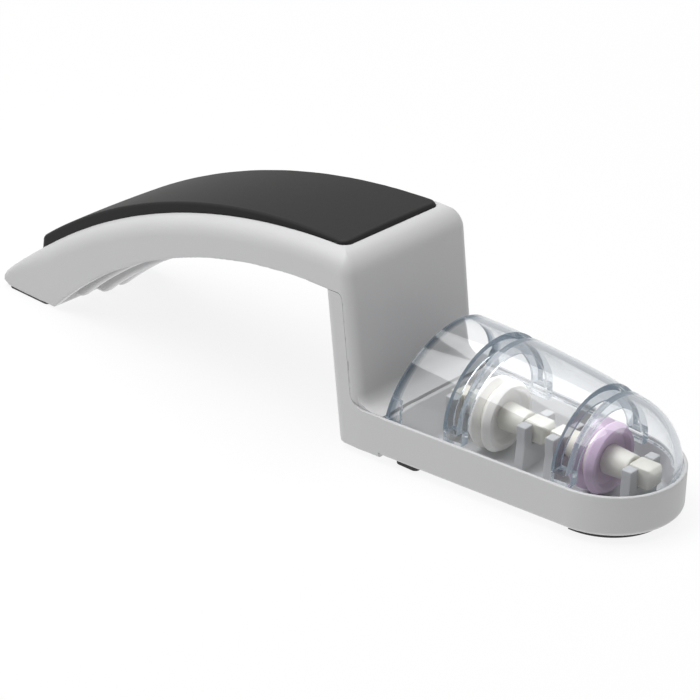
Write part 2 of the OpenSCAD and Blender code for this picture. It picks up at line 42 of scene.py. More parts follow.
# Sizes in millimetres, the same as in part.scad
TIP_X, TOP_Z, TIP_Z, TIP_LEAN, TIP_W = -118.7, 57.1, 4.5, 2.4, 39.6
COLUMN_W, COLUMN_X, COLUMN_T, PLATE_T = 49.8, 33.1, 10.0, 3.0
LEAN = math.radians(7.3)
ARCH_X, ARCH_Z, FOOT_T, CHANNEL_X = 19.7, 46.0, 0.8, -94.5
WALL, SHOULDER_R, CROWN_R, COLUMN_R = 2.2, 5.4, 6.4, 3.5
PAD_H, PAD_BED, PAD_MARGIN, PAD_START, PAD_R, PAD_SHIFT = 1.3, 0.8, 5.2, 11.8, 209.8, 7.9
RIBS, RIB_T, RIB_END_Z = ((-10.05, 1.0), (-3.35, 2.9), (3.35, 2.9), (10.05, 1.0)), 3.2, 1.6
RIM_Z, UNDER_Z, FLOOR_Z, NOSE_R, NOSE_X = 13.9, 2.2, 3.7, 20.3, 98.4
TAPER = math.radians(4.0)
LIP_W, LEDGE_D, LEDGE_W, BASIN_X, BASIN_SLOPE = 1.0, 1.0, 2.4, 40.3, math.radians(35)
LEDGE_Z = RIM_Z - LEDGE_D
HEEL_Z, HEEL_X = 1.6, 39.8
SLOTS = (62.0, 95.9)
AXLE_Z, DISC_R, DISC_T, SPACER_T = 14.0, 10.0, 3.5, 0.8
FORK_X, FORK_T, PRONG_W, PRONG_H, BLOCK_W = 10.7, 3.0, 3.2, 2.8, 6.4
COVER_INSET, COVER_T, SLOT_W, SLOT_LOW, GUIDE_T, GUIDE_D = 1.3, 2.0, 4.3, 16.3, 0.8, 4.6
SEAM, SEAM_R = 0.06, 4.0


def arc_radius(run, rise):
    """Radius of the arc that is level at one end and falls by rise over run."""
    return (run * run + rise * rise) / (2 * rise)


UPPER_X = ARCH_X + COLUMN_T / 2
UPPER_R = arc_radius(UPPER_X - TIP_X, TOP_Z - TIP_Z)
LOWER_R = arc_radius(ARCH_X - CHANNEL_X, ARCH_Z - FOOT_T)
HANDLE_TAPER = math.atan((COLUMN_W - TIP_W) / 2 / (UPPER_X - TIP_X))


# ---------------------------------------------------------------- distance fields
def cut(a, b, r=0.0):
    """What lies in both, with the outer edge between them rounded to r."""
    if np.isscalar(r) and r == 0:
        return np.maximum(a, b)
    return np.minimum(np.maximum(a, b), -r) + np.hypot(np.maximum(a + r, 0), np.maximum(b + r, 0))


def join(a, b, r=0.0):
    """What lies in either, with the inner corner between them filleted to r."""
    return -cut(-a, -b, r)


def box_at(p, lo, hi, r):
    """Box between two corners, with its edges rounded."""
    centre, half = (np.array(lo) + hi) / 2, (np.array(hi) - lo) / 2 - r
    q = np.abs(p - centre) - half
    return np.linalg.norm(np.maximum(q, 0), axis=1) + np.minimum(q.max(axis=1), 0) - r


def half_width(x):
    """Half the handle's width at x."""
    return COLUMN_W / 2 - np.maximum(UPPER_X - x, 0) * math.tan(HANDLE_TAPER)


def side_y(x, inset=0.0):
    """Where the tray's straight side runs at x, drawn in by inset."""
    return (NOSE_R - inset) / math.cos(TAPER) + (NOSE_X - x) * math.tan(TAPER)


def plan(p, inset=0.0):
    """Distance to the tray's outline in plan, drawn in by inset."""
    x, y = p[:, 0], np.abs(p[:, 1])
    line = (y - side_y(x, inset)) * math.cos(TAPER)
    ring = np.hypot(x - NOSE_X, y) - (NOSE_R - inset)
    round_part = (x - NOSE_X) * math.cos(TAPER) > y * math.sin(TAPER)
    return np.where(round_part, ring, line)


def front_face(p):
    """Below zero behind the column's leaning front."""
    return (p[:, 0] - COLUMN_X) * math.cos(LEAN) + (p[:, 2] - RIM_Z) * math.sin(LEAN)


def upper_arc(p):
    """Below zero under the handle's back."""
    return np.hypot(p[:, 0] - UPPER_X, p[:, 2] - TOP_Z + UPPER_R) - UPPER_R


def lower_arc(p, drop=0.0):
    """Below zero above the handle's lower edge."""
    x, z = p[:, 0], p[:, 2]
    r = LOWER_R - drop
    return np.where(x < ARCH_X, r - np.hypot(x - ARCH_X, z - ARCH_Z + LOWER_R), ARCH_Z - drop - z)


def ramp(v, lo, hi):
    """Eases from 0 at lo to 1 at hi."""
    t = np.clip((v - lo) / (hi - lo), 0, 1)
    return t * t * (3 - 2 * t)


def pad_field(p, grow=0.0):
    """Grip pad in its bed: slightly crowned across, with drafted sides."""
    crown, crown_w, draft, corner_r, edge_r, end_gap = 0.35, 19.0, 0.14, 3.0, 0.9, 0.1
    x, y, z = p.T
    low = upper_arc(p)
    cz = TOP_Z + PAD_H - math.sqrt(PAD_R ** 2 - PAD_SHIFT ** 2)
    top = np.hypot(x - UPPER_X + PAD_SHIFT, z - cz) - PAD_R + crown * (y / crown_w) ** 2
    x0 = TIP_X + PAD_START - grow
    x1 = COLUMN_X - (TOP_Z - RIM_Z) * math.tan(LEAN) - PAD_MARGIN - end_gap + grow
    side = (np.abs(y) - half_width(x) + PAD_MARGIN - grow) * math.cos(HANDLE_TAPER)
    outline = cut(side, np.maximum(x0 - x, x - x1), corner_r) + draft * np.maximum(low, 0)
    body = cut(outline, top - grow, edge_r)
    return np.maximum(body, -PAD_BED - grow - low)


def upper_seam(p):
    """Below zero in front of the seam, which runs down the column's side and on along the rim."""
    return cut(-PLATE_T - front_face(p), RIM_Z + SEAM - p[:, 2], SEAM_R)


def handle_side(p):
    """Distance to the handle's tapered sides."""
    return (np.abs(p[:, 1]) - half_width(p[:, 0])) * math.cos(HANDLE_TAPER)


def outer_form(p):
    """Handle and column outside, without the hollow and the lower edge."""
    corner_r, slant_r, base_r = 0.8, 0.4, 0.3
    rise, run, slant_l = 1.45, 2.4, 2.8
    crown_from, crown_to, tip_from, tip_to, tip_less = 18, 27, 96, 118, 3.4
    x, z = p[:, 0], p[:, 2]
    prism = cut(cut(handle_side(p), front_face(p), COLUMN_R), TIP_X - x, corner_r)
    slant = ((TIP_X + TIP_LEAN - x) * rise - (z - FOOT_T) * run) / slant_l
    edge = (SHOULDER_R + (CROWN_R - SHOULDER_R) * ramp(x, crown_from, crown_to)
            - tip_less * ramp(-x, tip_from, tip_to))
    body = cut(prism, upper_arc(p), edge)
    return cut(cut(body, slant, slant_r), FOOT_T - z, base_r)


def upper_field(p):
    """Upper housing: handle shell with its ribs, front plate, and the deck in front of the column."""
    lower_edge_r, hollow_gap, pad_gap = 0.35, 0.4, 0.12
    rib_edge_r, rib_end_r, rib_fillet, rib_sink, rib_past, rib_reach = 1.0, 1.2, 0.5, 0.8, 0.5, 6
    plate_fillet, deck_r, deck_fillet, deck_h, deck_past, deck_overlap = 1.5, 0.25, 4.0, 4.5, 0.3, 0.3
    x, y, z = p.T
    top, front, side = upper_arc(p), front_face(p), handle_side(p)
    body = outer_form(p)
    inner = cut(top + WALL + PAD_BED, side + WALL, SHOULDER_R - WALL)
    hollow = np.maximum(np.maximum(inner, front + PLATE_T), CHANNEL_X + hollow_gap - x)
    shell = cut(np.maximum(body, -hollow), lower_arc(p), lower_edge_r)
    behind_column = front + COLUMN_T - hollow_gap
    for y0, drop in RIBS:
        rib = cut(np.abs(y - y0) - RIB_T / 2, lower_arc(p, drop), rib_edge_r)
        rib = cut(rib, RIB_END_Z - z, rib_end_r)
        limit = np.maximum(inner - rib_sink, CHANNEL_X - rib_past - x)
        limit = np.maximum(limit, np.minimum(behind_column, ARCH_Z - z))
        shell = join(shell, np.maximum(np.maximum(rib, limit), x - ARCH_X - rib_reach), rib_fillet)
    # front plate, with the seam's rounded corners
    plate = np.maximum(np.maximum(body, -PLATE_T - front), upper_seam(p))
    whole = np.maximum(join(shell, plate, plate_fillet), body)
    # deck, filleted up into the plate
    room = np.maximum(plan(p, LIP_W + SEAM), np.maximum(x - BASIN_X + deck_past, COLUMN_X - PLATE_T - x))
    deck = cut(room, z - RIM_Z, deck_r)
    rising = np.maximum(join(z - RIM_Z, cut(side, front, COLUMN_R), deck_fillet), room)
    deck = np.where(z > RIM_Z - deck_overlap, rising, deck)
    deck = np.maximum(np.maximum(deck, LEDGE_Z - z), z - RIM_Z - deck_h)
    return np.maximum(np.minimum(whole, deck), -pad_field(p, pad_gap))


def lower_field(p):
    """Lower housing: back of the column and tray in one, with ledge, basin and forks."""
    heel_r, heel_back_r, tray_r, seam_edge, seam_edge_more, head_r = 0.9, 4.0, 1.6, 0.05, 0.3, 1.5
    seam_from, seam_to, head_from, ledge_back, ledge_r = 3, 12, 8, 2, 0.2
    basin_corner_r, basin_foot_r, basin_top, basin_r = 1.5, 1.3, 2, 0.3
    front_wall, column_floor_z = 1.0, 5.0
    fork_gap, fork_root, web_lap, prong_r, web_r, fork_fillet = 0.1, 1, 1, 0.35, 0.3, 0.6
    x, y, z = p.T
    ay = np.abs(y)
    front = front_face(p)
    back = -front - COLUMN_T
    outline = cut(np.maximum(plan(p), ay - COLUMN_W / 2), back, COLUMN_R)
    # the heel stands a little lower than the tray
    heel = np.maximum(cut(outline, HEEL_Z - z, heel_r), cut(back, HEEL_Z - z, heel_back_r))
    body = np.minimum(np.maximum(heel, x - HEEL_X), cut(outline, UNDER_Z - z, tray_r))
    edge = seam_edge + seam_edge_more * ramp(x, COLUMN_X + seam_from, COLUMN_X + seam_to)
    body = cut(body, SEAM - upper_seam(p), edge)
    head = cut(z - ARCH_Z + SEAM, front + PLATE_T + SEAM, head_r)
    body = np.where(z > RIM_Z + head_from, np.maximum(body, head), body)
    # ledge, basin and the hollow column
    ledge = np.maximum(np.maximum(plan(p, LIP_W), LEDGE_Z - z), COLUMN_X - PLATE_T - ledge_back - x)
    body = cut(body, -ledge, ledge_r)
    slope = (BASIN_X - x) * math.cos(BASIN_SLOPE) + (RIM_Z - z) * math.sin(BASIN_SLOPE)
    basin = cut(cut(plan(p, LIP_W + LEDGE_W), slope, basin_corner_r), FLOOR_Z - z, basin_foot_r)
    basin = np.maximum(basin, z - RIM_Z - basin_top)
    body = cut(body, -basin, basin_r)
    room = np.maximum(ay - COLUMN_W / 2 + WALL, back + WALL)
    body = np.maximum(body, -np.maximum(room, np.maximum(front + front_wall, column_floor_z - z)))
    # forks
    gap = BLOCK_W / 2 + fork_gap
    q = np.c_[x, ay, z]
    forks = np.full_like(x, 1e3)
    for c in SLOTS:
        for x0 in (c - FORK_X - FORK_T, c + FORK_X):
            x1, root = x0 + FORK_T, FLOOR_Z - fork_root
            prong = box_at(q, (x0, gap, root), (x1, gap + PRONG_W, AXLE_Z + PRONG_H), prong_r)
            web = box_at(q, (x0, -gap, root), (x1, gap + web_lap, AXLE_Z - BLOCK_W / 2), web_r)
            forks = np.minimum(forks, np.minimum(prong, web))
    return join(body, forks, fork_fillet)


# ---------------------------------------------------------------- dual contouring
def slopes(f, p, step=0.02):
    """Unit direction in which f rises."""
    g = np.empty_like(p)
    for i in range(3):
        d = np.zeros(3)
        d[i] = step
        g[:, i] = f(p + d) - f(p - d)
    return g / np.maximum(np.linalg.norm(g, axis=1), 1e-9)[:, None]


def evaluate(f, p, size=400000):
    """f at many points, a batch at a time to save memory."""
    return np.concatenate([f(p[i:i + size]) for i in range(0, len(p), size)])


def contour(f, lo, hi, h):
    """Surface of f = 0 as quads, with sharp edges kept, and a normal for each corner."""
    near_end, soft, reach, towards_corner, rounds = 0.02, 0.06, 0.8, 0.7, 4
    lo, hi = np.array(lo, float), np.array(hi, float)
    n = np.ceil((hi - lo) / h).astype(int) + 1
    axes = [lo[i] + h * np.arange(n[i]) for i in range(3)]
    grid = np.stack(np.meshgrid(*axes, indexing="ij"), -1).reshape(-1, 3)
    field = evaluate(f, grid).reshape(n)
    inside = field < 0
    cells = n - 1
    a = np.zeros((cells.prod(), 3, 3), np.float32)
    b = np.zeros((cells.prod(), 3), np.float32)
    mean = np.zeros((cells.prod(), 3), np.float32)
    count = np.zeros(cells.prod(), np.float32)
    stride = np.array([cells[1] * cells[2], cells[2], 1])
    faces = []
    for axis in range(3):
        u, v = (axis + 1) % 3, (axis + 2) % 3
        step = np.zeros(3, int)
        step[axis] = 1
        low = tuple(slice(0, n[i] - step[i]) for i in range(3))
        high = tuple(slice(step[i], n[i]) for i in range(3))
        at = np.argwhere(inside[low] != inside[high])
        at = at[np.all([(at[:, i] > 0) & (at[:, i] < cells[i]) for i in (u, v)], axis=0)]
        f0 = field[tuple(at.T)]
        f1 = field[tuple((at + step).T)]
        p0, p1 = lo + at * h, lo + (at + step) * h
        start_inside = f0 < 0
        for _ in range(rounds):
            t = np.clip(f0 / (f0 - f1), near_end, 1 - near_end)
            p = p0 + (p1 - p0) * t[:, None]
            fp = evaluate(f, p)
            same = (fp < 0) == (f0 < 0)
            p0, f0 = np.where(same[:, None], p, p0), np.where(same, fp, f0)
            p1, f1 = np.where(same[:, None], p1, p), np.where(same, f1, fp)
        normal = slopes(f, p)
        outer = normal[:, :, None] * normal[:, None, :]
        dots = (normal * p).sum(1)
        ids = []
        for du, dv in ((0, 0), (1, 0), (1, 1), (0, 1)):
            cell = at.copy()
            cell[:, u] -= 1 - du
            cell[:, v] -= 1 - dv
            i = cell @ stride
            ids.append(i)
            np.add.at(a, i, outer)
            np.add.at(b, i, normal * dots[:, None])
            np.add.at(mean, i, p)
            np.add.at(count, i, 1)
        quad = np.stack(ids, 1)
        quad[~start_inside] = quad[~start_inside][:, ::-1]
        faces.append(quad)
    faces = np.concatenate(faces)
    used = np.unique(faces)
    index = np.full(cells.prod(), -1)
    index[used] = np.arange(len(used))
    centre = mean[used] / count[used][:, None]
    pull = a[used].astype(float)
    rhs = b[used].astype(float) - (pull @ centre[:, :, None].astype(float))[:, :, 0]
    move = np.linalg.solve(pull + soft * np.eye(3), rhs[:, :, None])[:, :, 0]
    verts = centre + np.clip(move, -reach * h, reach * h)
    quads = index[faces]
    mid = verts[quads].mean(1)
    probe = verts[quads] * towards_corner + mid[:, None, :] * (1 - towards_corner)
    normals = slopes(f, probe.reshape(-1, 3).astype(float))
    return verts, quads, normals


# ---------------------------------------------------------------- meshes
def add_object(name, mesh, material):
    """Object at the origin with one material."""
    obj = bpy.data.objects.new(name, mesh)
    bpy.context.scene.collection.objects.link(obj)
    mesh.materials.clear()
    mesh.materials.append(material)
    return obj


def mesh_from(name, verts, faces, material, normals=None):
    """Object from millimetre vertices; faces are lists of indices."""
    mesh = bpy.data.meshes.new(name)
    mesh.from_pydata((np.asarray(verts) * MM).tolist(), [], [list(map(int, f)) for f in faces])
    mesh.validate()
    mesh.shade_smooth()
    if normals is not None and len(mesh.loops) == len(normals):
        mesh.normals_split_custom_set(normals.tolist())
    mesh.update()
    return add_object(name, mesh, material)


def ride(obj, body, node):
    """Puts a finished piece on its body, in its node's stead."""
    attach(obj, body)
    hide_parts(node)


def moulded(name, f, lo, hi, h, material, node):
    """Fixed piece of the housing from its distance field, on a grid of h."""
    verts, quads, normals = contour(f, lo, hi, h)
    ride(mesh_from(name, verts, quads, material, normals), "housing", node)


def rounded_profile(points, radii, steps=5):
    """Closed profile whose corners are rounded, each to its own radius."""
    pts = np.array(points, float)
    out = []
    for i, r in enumerate(radii):
        p, a, b = pts[i], pts[i - 1], pts[(i + 1) % len(pts)]
        if r <= 0:
            out.append(p)
            continue
        u, v = (a - p) / np.linalg.norm(a - p), (b - p) / np.linalg.norm(b - p)
        half = math.acos(np.clip(u @ v, -1, 1)) / 2
        d = min(r / math.tan(half), 0.49 * np.linalg.norm(a - p), 0.49 * np.linalg.norm(b - p))
        rr = d * math.tan(half)
        centre = p + (u + v) / np.linalg.norm(u + v) * (rr / math.sin(half))
        s, e = p + u * d - centre, p + v * d - centre
        a0 = math.atan2(s[1], s[0])
        turn = (math.atan2(e[1], e[0]) - a0 + math.pi) % (2 * math.pi) - math.pi
        for k in range(steps + 1):
            t = a0 + turn * k / steps
            out.append(centre + rr * np.array([math.cos(t), math.sin(t)]))
    return np.array(out)


TURNING_R = 5.0


def turning_tree():
    """Node tree that turns a flat outline about the X axis through a centre."""
    tree = bpy.data.node_groups.new("TurnedPiece", "GeometryNodeTree")
    for name, kind in (("Outline", "Geometry"), ("Segments", "Int"), ("Radius", "Float"), ("Centre", "Vector"),
                       ("Finish", "Material")):
        tree.interface.new_socket(name, in_out="INPUT", socket_type="NodeSocket" + kind)
    tree.interface.new_socket("Piece", in_out="OUTPUT", socket_type="NodeSocketGeometry")
    given, outline, circle, sweep, place, whole, finish, piece = (tree.nodes.new(kind) for kind in (
        "NodeGroupInput", "GeometryNodeMeshToCurve", "GeometryNodeCurvePrimitiveCircle", "GeometryNodeCurveToMesh",
        "GeometryNodeTransform", "GeometryNodeRealizeInstances", "GeometryNodeSetMaterial", "NodeGroupOutput"))
    place.inputs["Rotation"].default_value = (0, math.radians(90), 0)
    for source, output, target, socket in (
            (given, "Outline", outline, "Mesh"), (given, "Segments", circle, "Resolution"),
            (given, "Radius", circle, "Radius"), (circle, "Curve", sweep, "Curve"),
            (outline, "Curve", sweep, "Profile Curve"), (sweep, "Mesh", place, "Geometry"),
            (given, "Centre", place, "Translation"), (place, "Geometry", whole, "Geometry"),
            (whole, "Geometry", finish, "Geometry"), (given, "Finish", finish, "Material"),
            (finish, "Geometry", piece, "Piece")):
        tree.links.new(source.outputs[output], target.inputs[socket])
    return tree


TURNING = turning_tree()


def turned(name, outline, centre, material, segments=160, flip=False):
    """Turns (axial, radius) points about the X axis through centre."""
    points = np.asarray(outline, float)
    if flip:
        points = points[::-1] * [-1, 1]
    count = len(points)
    mesh = bpy.data.meshes.new(name)
    mesh.from_pydata([((radius - TURNING_R) * MM, -axial * MM, 0) for axial, radius in points],
                     [(i, (i + 1) % count) for i in range(count)], [])
    obj = add_object(name, mesh, material)
    modifier = obj.modifiers.new("turning", "NODES")
    modifier.node_group = TURNING
    values = {"Segments": segments, "Radius": TURNING_R * MM, "Centre": [v * MM for v in centre], "Finish": material}
    for socket in TURNING.interface.items_tree:
        if socket.name in values:
            modifier[socket.identifier] = values[socket.name]
    settle(obj)
    clean(obj)
    return obj


def settle(obj):
    """Makes the modifiers' result the piece's plain mesh."""
    graph = bpy.context.evaluated_depsgraph_get()
    mesh = bpy.data.meshes.new_from_object(obj.evaluated_get(graph))
    obj.modifiers.clear()
    old, obj.data = obj.data, mesh
    bpy.data.meshes.remove(old)


def clean(obj, angle=30, merge=0.004):
    """Merges doubles, turns normals outward and sets sharp edges."""
    bm = bmesh.new()
    bm.from_mesh(obj.data)
    bmesh.ops.remove_doubles(bm, verts=bm.verts, dist=merge * MM)
    bmesh.ops.dissolve_degenerate(bm, edges=bm.edges, dist=merge * MM * 0.1)
    bmesh.ops.recalc_face_normals(bm, faces=bm.faces)
    bm.to_mesh(obj.data)
    bm.free()
    obj.data.shade_smooth()
    obj.data.set_sharp_from_angle(angle=math.radians(angle))
    obj.data.update()


def bevelled(obj, width, segments=3, angle=30):
    """Rounds the edges that are sharper than angle."""
    modifier = obj.modifiers.new("edge", "BEVEL")
    modifier.width = width * MM
    modifier.segments = segments
    modifier.limit_method = "ANGLE"
    modifier.angle_limit = math.radians(angle)
    modifier.harden_normals = True
    settle(obj)


def extruded(name, outline, z0, z1, material):
    """Upright piece between two heights from its outline in plan."""
    pts = np.asarray(outline, float)
    k = len(pts)
    verts = np.concatenate([np.c_[pts, np.full(k, z0)], np.c_[pts, np.full(k, z1)]])
    faces = [list(range(k))[::-1], list(range(k, 2 * k))]
    faces += [[i, (i + 1) % k, (i + 1) % k + k, i + k] for i in range(k)]
    obj = mesh_from(name, verts, faces, material)
    clean(obj)
    return obj


# ---------------------------------------------------------------- materials
def new_material(name):
    """Material with its tree and its Principled shader."""
    mat = bpy.data.materials.new(name)
    mat.use_nodes = True
    return mat, mat.node_tree, mat.node_tree.nodes["Principled BSDF"]


def values_on(node, **values):
    """Sets sockets by name, with underscores for spaces."""
    for name, value in values.items():
        node.inputs[name.replace("_", " ")].default_value = value


def grain_group():
    """Fine moulded grain at the given scale, and a broad mottle."""
    g = bpy.data.node_groups.new("MouldGrain", "ShaderNodeTree")
    g.interface.new_socket("Vector", in_out="INPUT", socket_type="NodeSocketVector")
    g.interface.new_socket("Scale", in_out="INPUT", socket_type="NodeSocketFloat").default_value = 3000.0
    g.interface.new_socket("Height", in_out="OUTPUT", socket_type="NodeSocketFloat")
    g.interface.new_socket("Mottle", in_out="OUTPUT", socket_type="NodeSocketFloat")
    given, result = g.nodes.new("NodeGroupInput"), g.nodes.new("NodeGroupOutput")
    fine = g.nodes.new("ShaderNodeTexNoise")
    values_on(fine, Detail=3.0, Roughness=0.6)
    broad = g.nodes.new("ShaderNodeTexNoise")
    values_on(broad, Scale=45.0, Detail=4.0)
    g.links.new(given.outputs["Vector"], fine.inputs["Vector"])
    g.links.new(given.outputs["Scale"], fine.inputs["Scale"])
    g.links.new(given.outputs["Vector"], broad.inputs["Vector"])
    g.links.new(fine.outputs["Fac"], result.inputs["Height"])
    g.links.new(broad.outputs["Fac"], result.inputs["Mottle"])
    return g


GRAIN = grain_group()


def moulded_finish(name, colour, roughness, rough_var, grain, bump, depth, mottle, **shader_values):
    """Finish whose colour, roughness and bump come from the grain on Object coordinates."""
    mat, tree, shader = new_material(name)
    coord = tree.nodes.new("ShaderNodeTexCoord")
    g = tree.nodes.new("ShaderNodeGroup")
    g.node_tree = GRAIN
    g.inputs["Scale"].default_value = grain
    tree.links.new(coord.outputs["Object"], g.inputs["Vector"])
    tone = tree.nodes.new("ShaderNodeMix")
    tone.data_type = "RGBA"
    tone.inputs["A"].default_value = (*(c * (1 - mottle) for c in colour), 1)
    tone.inputs["B"].default_value = (*(min(1, c * (1 + mottle)) for c in colour), 1)
    tree.links.new(g.outputs["Mottle"], tone.inputs["Factor"])
    tree.links.new(tone.outputs["Result"], shader.inputs["Base Color"])
    rough = tree.nodes.new("ShaderNodeMapRange")
    values_on(rough, To_Min=roughness - rough_var, To_Max=roughness + rough_var)
    tree.links.new(g.outputs["Height"], rough.inputs["Value"])
    tree.links.new(rough.outputs["Result"], shader.inputs["Roughness"])
    relief = tree.nodes.new("ShaderNodeBump")
    values_on(relief, Strength=bump, Distance=depth * MM)
    tree.links.new(g.outputs["Height"], relief.inputs["Height"])
    tree.links.new(relief.outputs["Normal"], shader.inputs["Normal"])
    values_on(shader, **shader_values)
    return mat


ABS = moulded_finish("HousingABS", (0.535, 0.535, 0.54), roughness=0.47, rough_var=0.05,
                     grain=2600.0, bump=0.12, depth=0.05, mottle=0.02)
RUBBER = moulded_finish("PadRubber", (0.010, 0.0095, 0.0095), roughness=0.56, rough_var=0.06,
                        grain=3000.0, bump=0.25, depth=0.06, mottle=0.10, Specular_IOR_Level=0.2)
FOOT = moulded_finish("FootRubber", (0.020, 0.020, 0.020), roughness=0.70, rough_var=0.06,
                      grain=2200.0, bump=0.3, depth=0.06, mottle=0.10)
WHITE = moulded_finish("WhiteCeramic", (0.86, 0.84, 0.80), roughness=0.78, rough_var=0.08,
                       grain=3600.0, bump=0.45, depth=0.08, mottle=0.03)
PINK = moulded_finish("PinkCeramic", (0.63, 0.47, 0.65), roughness=0.74, rough_var=0.08,
                      grain=3600.0, bump=0.45, depth=0.08, mottle=0.05)
IVORY = moulded_finish("IvoryPlastic", (0.76, 0.74, 0.67), roughness=0.38, rough_var=0.05,
                       grain=2400.0, bump=0.1, depth=0.04, mottle=0.02)
STEEL = moulded_finish("ScrewSteel", (0.55, 0.56, 0.58), roughness=0.32, rough_var=0.08,
                       grain=1800.0, bump=0.15, depth=0.04, mottle=0.05, Metallic=1.0)


def maths(tree, operation, first, second):
    """Math node fed by sockets or plain numbers."""
    n = tree.nodes.new("ShaderNodeMath")
    n.operation = operation
    n.use_clamp = True
    for socket, value in zip(n.inputs, (first, second)):
        if isinstance(value, (int, float)):
            socket.default_value = value
        else:
            tree.links.new(value, socket)
    return n.outputs[0]


def mixed(tree, share, first, second):
    """First shader, with the share of the second mixed in."""
    mix = tree.nodes.new("ShaderNodeMixShader")
    for socket, source in zip(mix.inputs, (share, first.outputs[0], second.outputs[0])):
        tree.links.new(source, socket)
    return mix


def clear_finish():
    """Clear plastic: painted steel-blue shade at its edges, a painted steel-blue glow where light stays inside it, and
    shadows pass through.
    """
    clear, steel_blue, painted_inner_glow = (0.965, 0.975, 0.985, 1), (0.24, 0.30, 0.36, 1), (0.21, 0.255, 0.30, 1)
    painted_glow_share, deepest = 0.5, 8.0
    mat, tree, shader = new_material("ClearCover")
    values_on(shader, Metallic=0.0, Transmission_Weight=1.0, IOR=1.50)
    coord = tree.nodes.new("ShaderNodeTexCoord")
    noise = tree.nodes.new("ShaderNodeTexNoise")
    values_on(noise, Scale=60.0, Detail=3.0)
    tree.links.new(coord.outputs["Object"], noise.inputs["Vector"])
    rough = tree.nodes.new("ShaderNodeMapRange")
    values_on(rough, To_Min=0.01, To_Max=0.04)
    tree.links.new(noise.outputs["Fac"], rough.inputs["Value"])
    tree.links.new(rough.outputs["Result"], shader.inputs["Roughness"])
    # painted steel-blue shade: each face's share, set along the back edge, guides, slot walls and foot, darkens the
    # clear colour
    edge = tree.nodes.new("ShaderNodeAttribute")
    edge.attribute_name = "painted_edge_shade"
    painted_shade = tree.nodes.new("ShaderNodeMix")
    painted_shade.data_type = "RGBA"
    values_on(painted_shade, A=clear, B=steel_blue)
    tree.links.new(edge.outputs["Fac"], painted_shade.inputs["Factor"])
    tree.links.new(painted_shade.outputs["Result"], shader.inputs["Base Color"])
    # painted glow: backfaces hit by reflection rays, and rays deeper than eight bounces, give off steel-blue light in
    # place of light trapped in the plastic
    path = tree.nodes.new("ShaderNodeLightPath")
    side = tree.nodes.new("ShaderNodeNewGeometry")
    glow = tree.nodes.new("ShaderNodeEmission")
    values_on(glow, Color=painted_inner_glow)
    trapped = maths(tree, "MULTIPLY", path.outputs["Is Reflection Ray"], side.outputs["Backfacing"])
    deep = maths(tree, "GREATER_THAN", path.outputs["Ray Depth"], deepest)
    share = maths(tree, "MAXIMUM", maths(tree, "MULTIPLY", trapped, painted_glow_share), deep)
    body = mixed(tree, share, shader, glow)
    through = tree.nodes.new("ShaderNodeBsdfTransparent")
    values_on(through, Color=(0.93, 0.94, 0.95, 1))
    unseen = maths(tree, "MAXIMUM", path.outputs["Is Shadow Ray"], path.outputs["Is Diffuse Ray"])
    tree.links.new(mixed(tree, unseen, body, through).outputs[0], tree.nodes["Material Output"].inputs["Surface"])
    return mat


CLEAR = clear_finish()


# ---------------------------------------------------------------- housings and pad
UPPER_GRID, LOWER_GRID, PAD_GRID, SPAN_Y, PAD_SPAN_Y = 0.62, 0.56, 0.55, 26, 21
moulded("UpperHousing", upper_field, (TIP_X - 1.5, -SPAN_Y, -0.6), (BASIN_X + 1.5, SPAN_Y, TOP_Z + 1.5), UPPER_GRID,
        ABS, "upper_housing")
moulded("LowerHousing", lower_field, (17.5, -SPAN_Y, 0.4), (120.3, SPAN_Y, 47.5), LOWER_GRID,
        ABS, "lower_housing")
moulded("GripPad", pad_field, (TIP_X + PAD_START - 2, -PAD_SPAN_Y, 10.5), (24.5, PAD_SPAN_Y, 60.0), PAD_GRID,
        RUBBER, "grip_pad")


# ---------------------------------------------------------------- cover
COVER_TOP_R, COVER_TOP_X, COVER_FALL = 22.8, 46.7, math.radians(0.7)
COVER_R = NOSE_R - COVER_INSET
COVER_ARC_R = ((NOSE_X - COVER_TOP_X) ** 2 + COVER_TOP_R ** 2 - COVER_R ** 2) / (2 * (COVER_TOP_R - COVER_R))
COVER_LEAN = math.radians(13)
LUG_T, LUG_W, LUG_H, LUG_EASE_X, LUG_EASE_Z = 1.2, 4.6, 6.6, 0.8, 1.0
# How much painted steel-blue shade the first rings at the back edge, the guides, the slot walls and the foot get
EDGE_RINGS, GUIDE_SHADE, SLOT_SHADE, FOOT_SHADE = 5, 0.35, 0.6, 0.4


def cover_radius(x, inset):
    """Radius of the turned form at x: a long arc that runs into the nose."""
    r = COVER_R - inset
    join_x = NOSE_X + r * math.sin(math.atan2(NOSE_X - COVER_TOP_X, COVER_ARC_R - COVER_TOP_R))
    long_arc = COVER_TOP_R - COVER_ARC_R + np.sqrt((COVER_ARC_R - inset) ** 2 - (x - COVER_TOP_X) ** 2)
    nose = np.sqrt(np.maximum(r * r - (x - NOSE_X) ** 2, 0))
    return np.where(x < join_x, long_arc, nose)


def cover_section(xs, inset, ts):
    """Points of one section: a circle about the falling axis, eased in at the tray's sides."""
    soft, proud = 0.8, 0.08
    xs = np.broadcast_to(np.asarray(xs, float), ts.shape)
    r = cover_radius(xs, inset)
    wide = r * np.abs(np.cos(ts))
    limit = side_y(xs, COVER_INSET + inset - proud)
    y = np.minimum(wide, limit)
    over = np.clip((wide - limit + soft) / (2 * soft), 0, 1)
    y = np.where(np.abs(wide - limit) < soft, wide - soft * over * over, y)
    z = RIM_Z - (xs - COVER_TOP_X) * math.tan(COVER_FALL) + r * np.sin(ts)
    return np.c_[xs, -y * np.sign(np.cos(ts)), z]


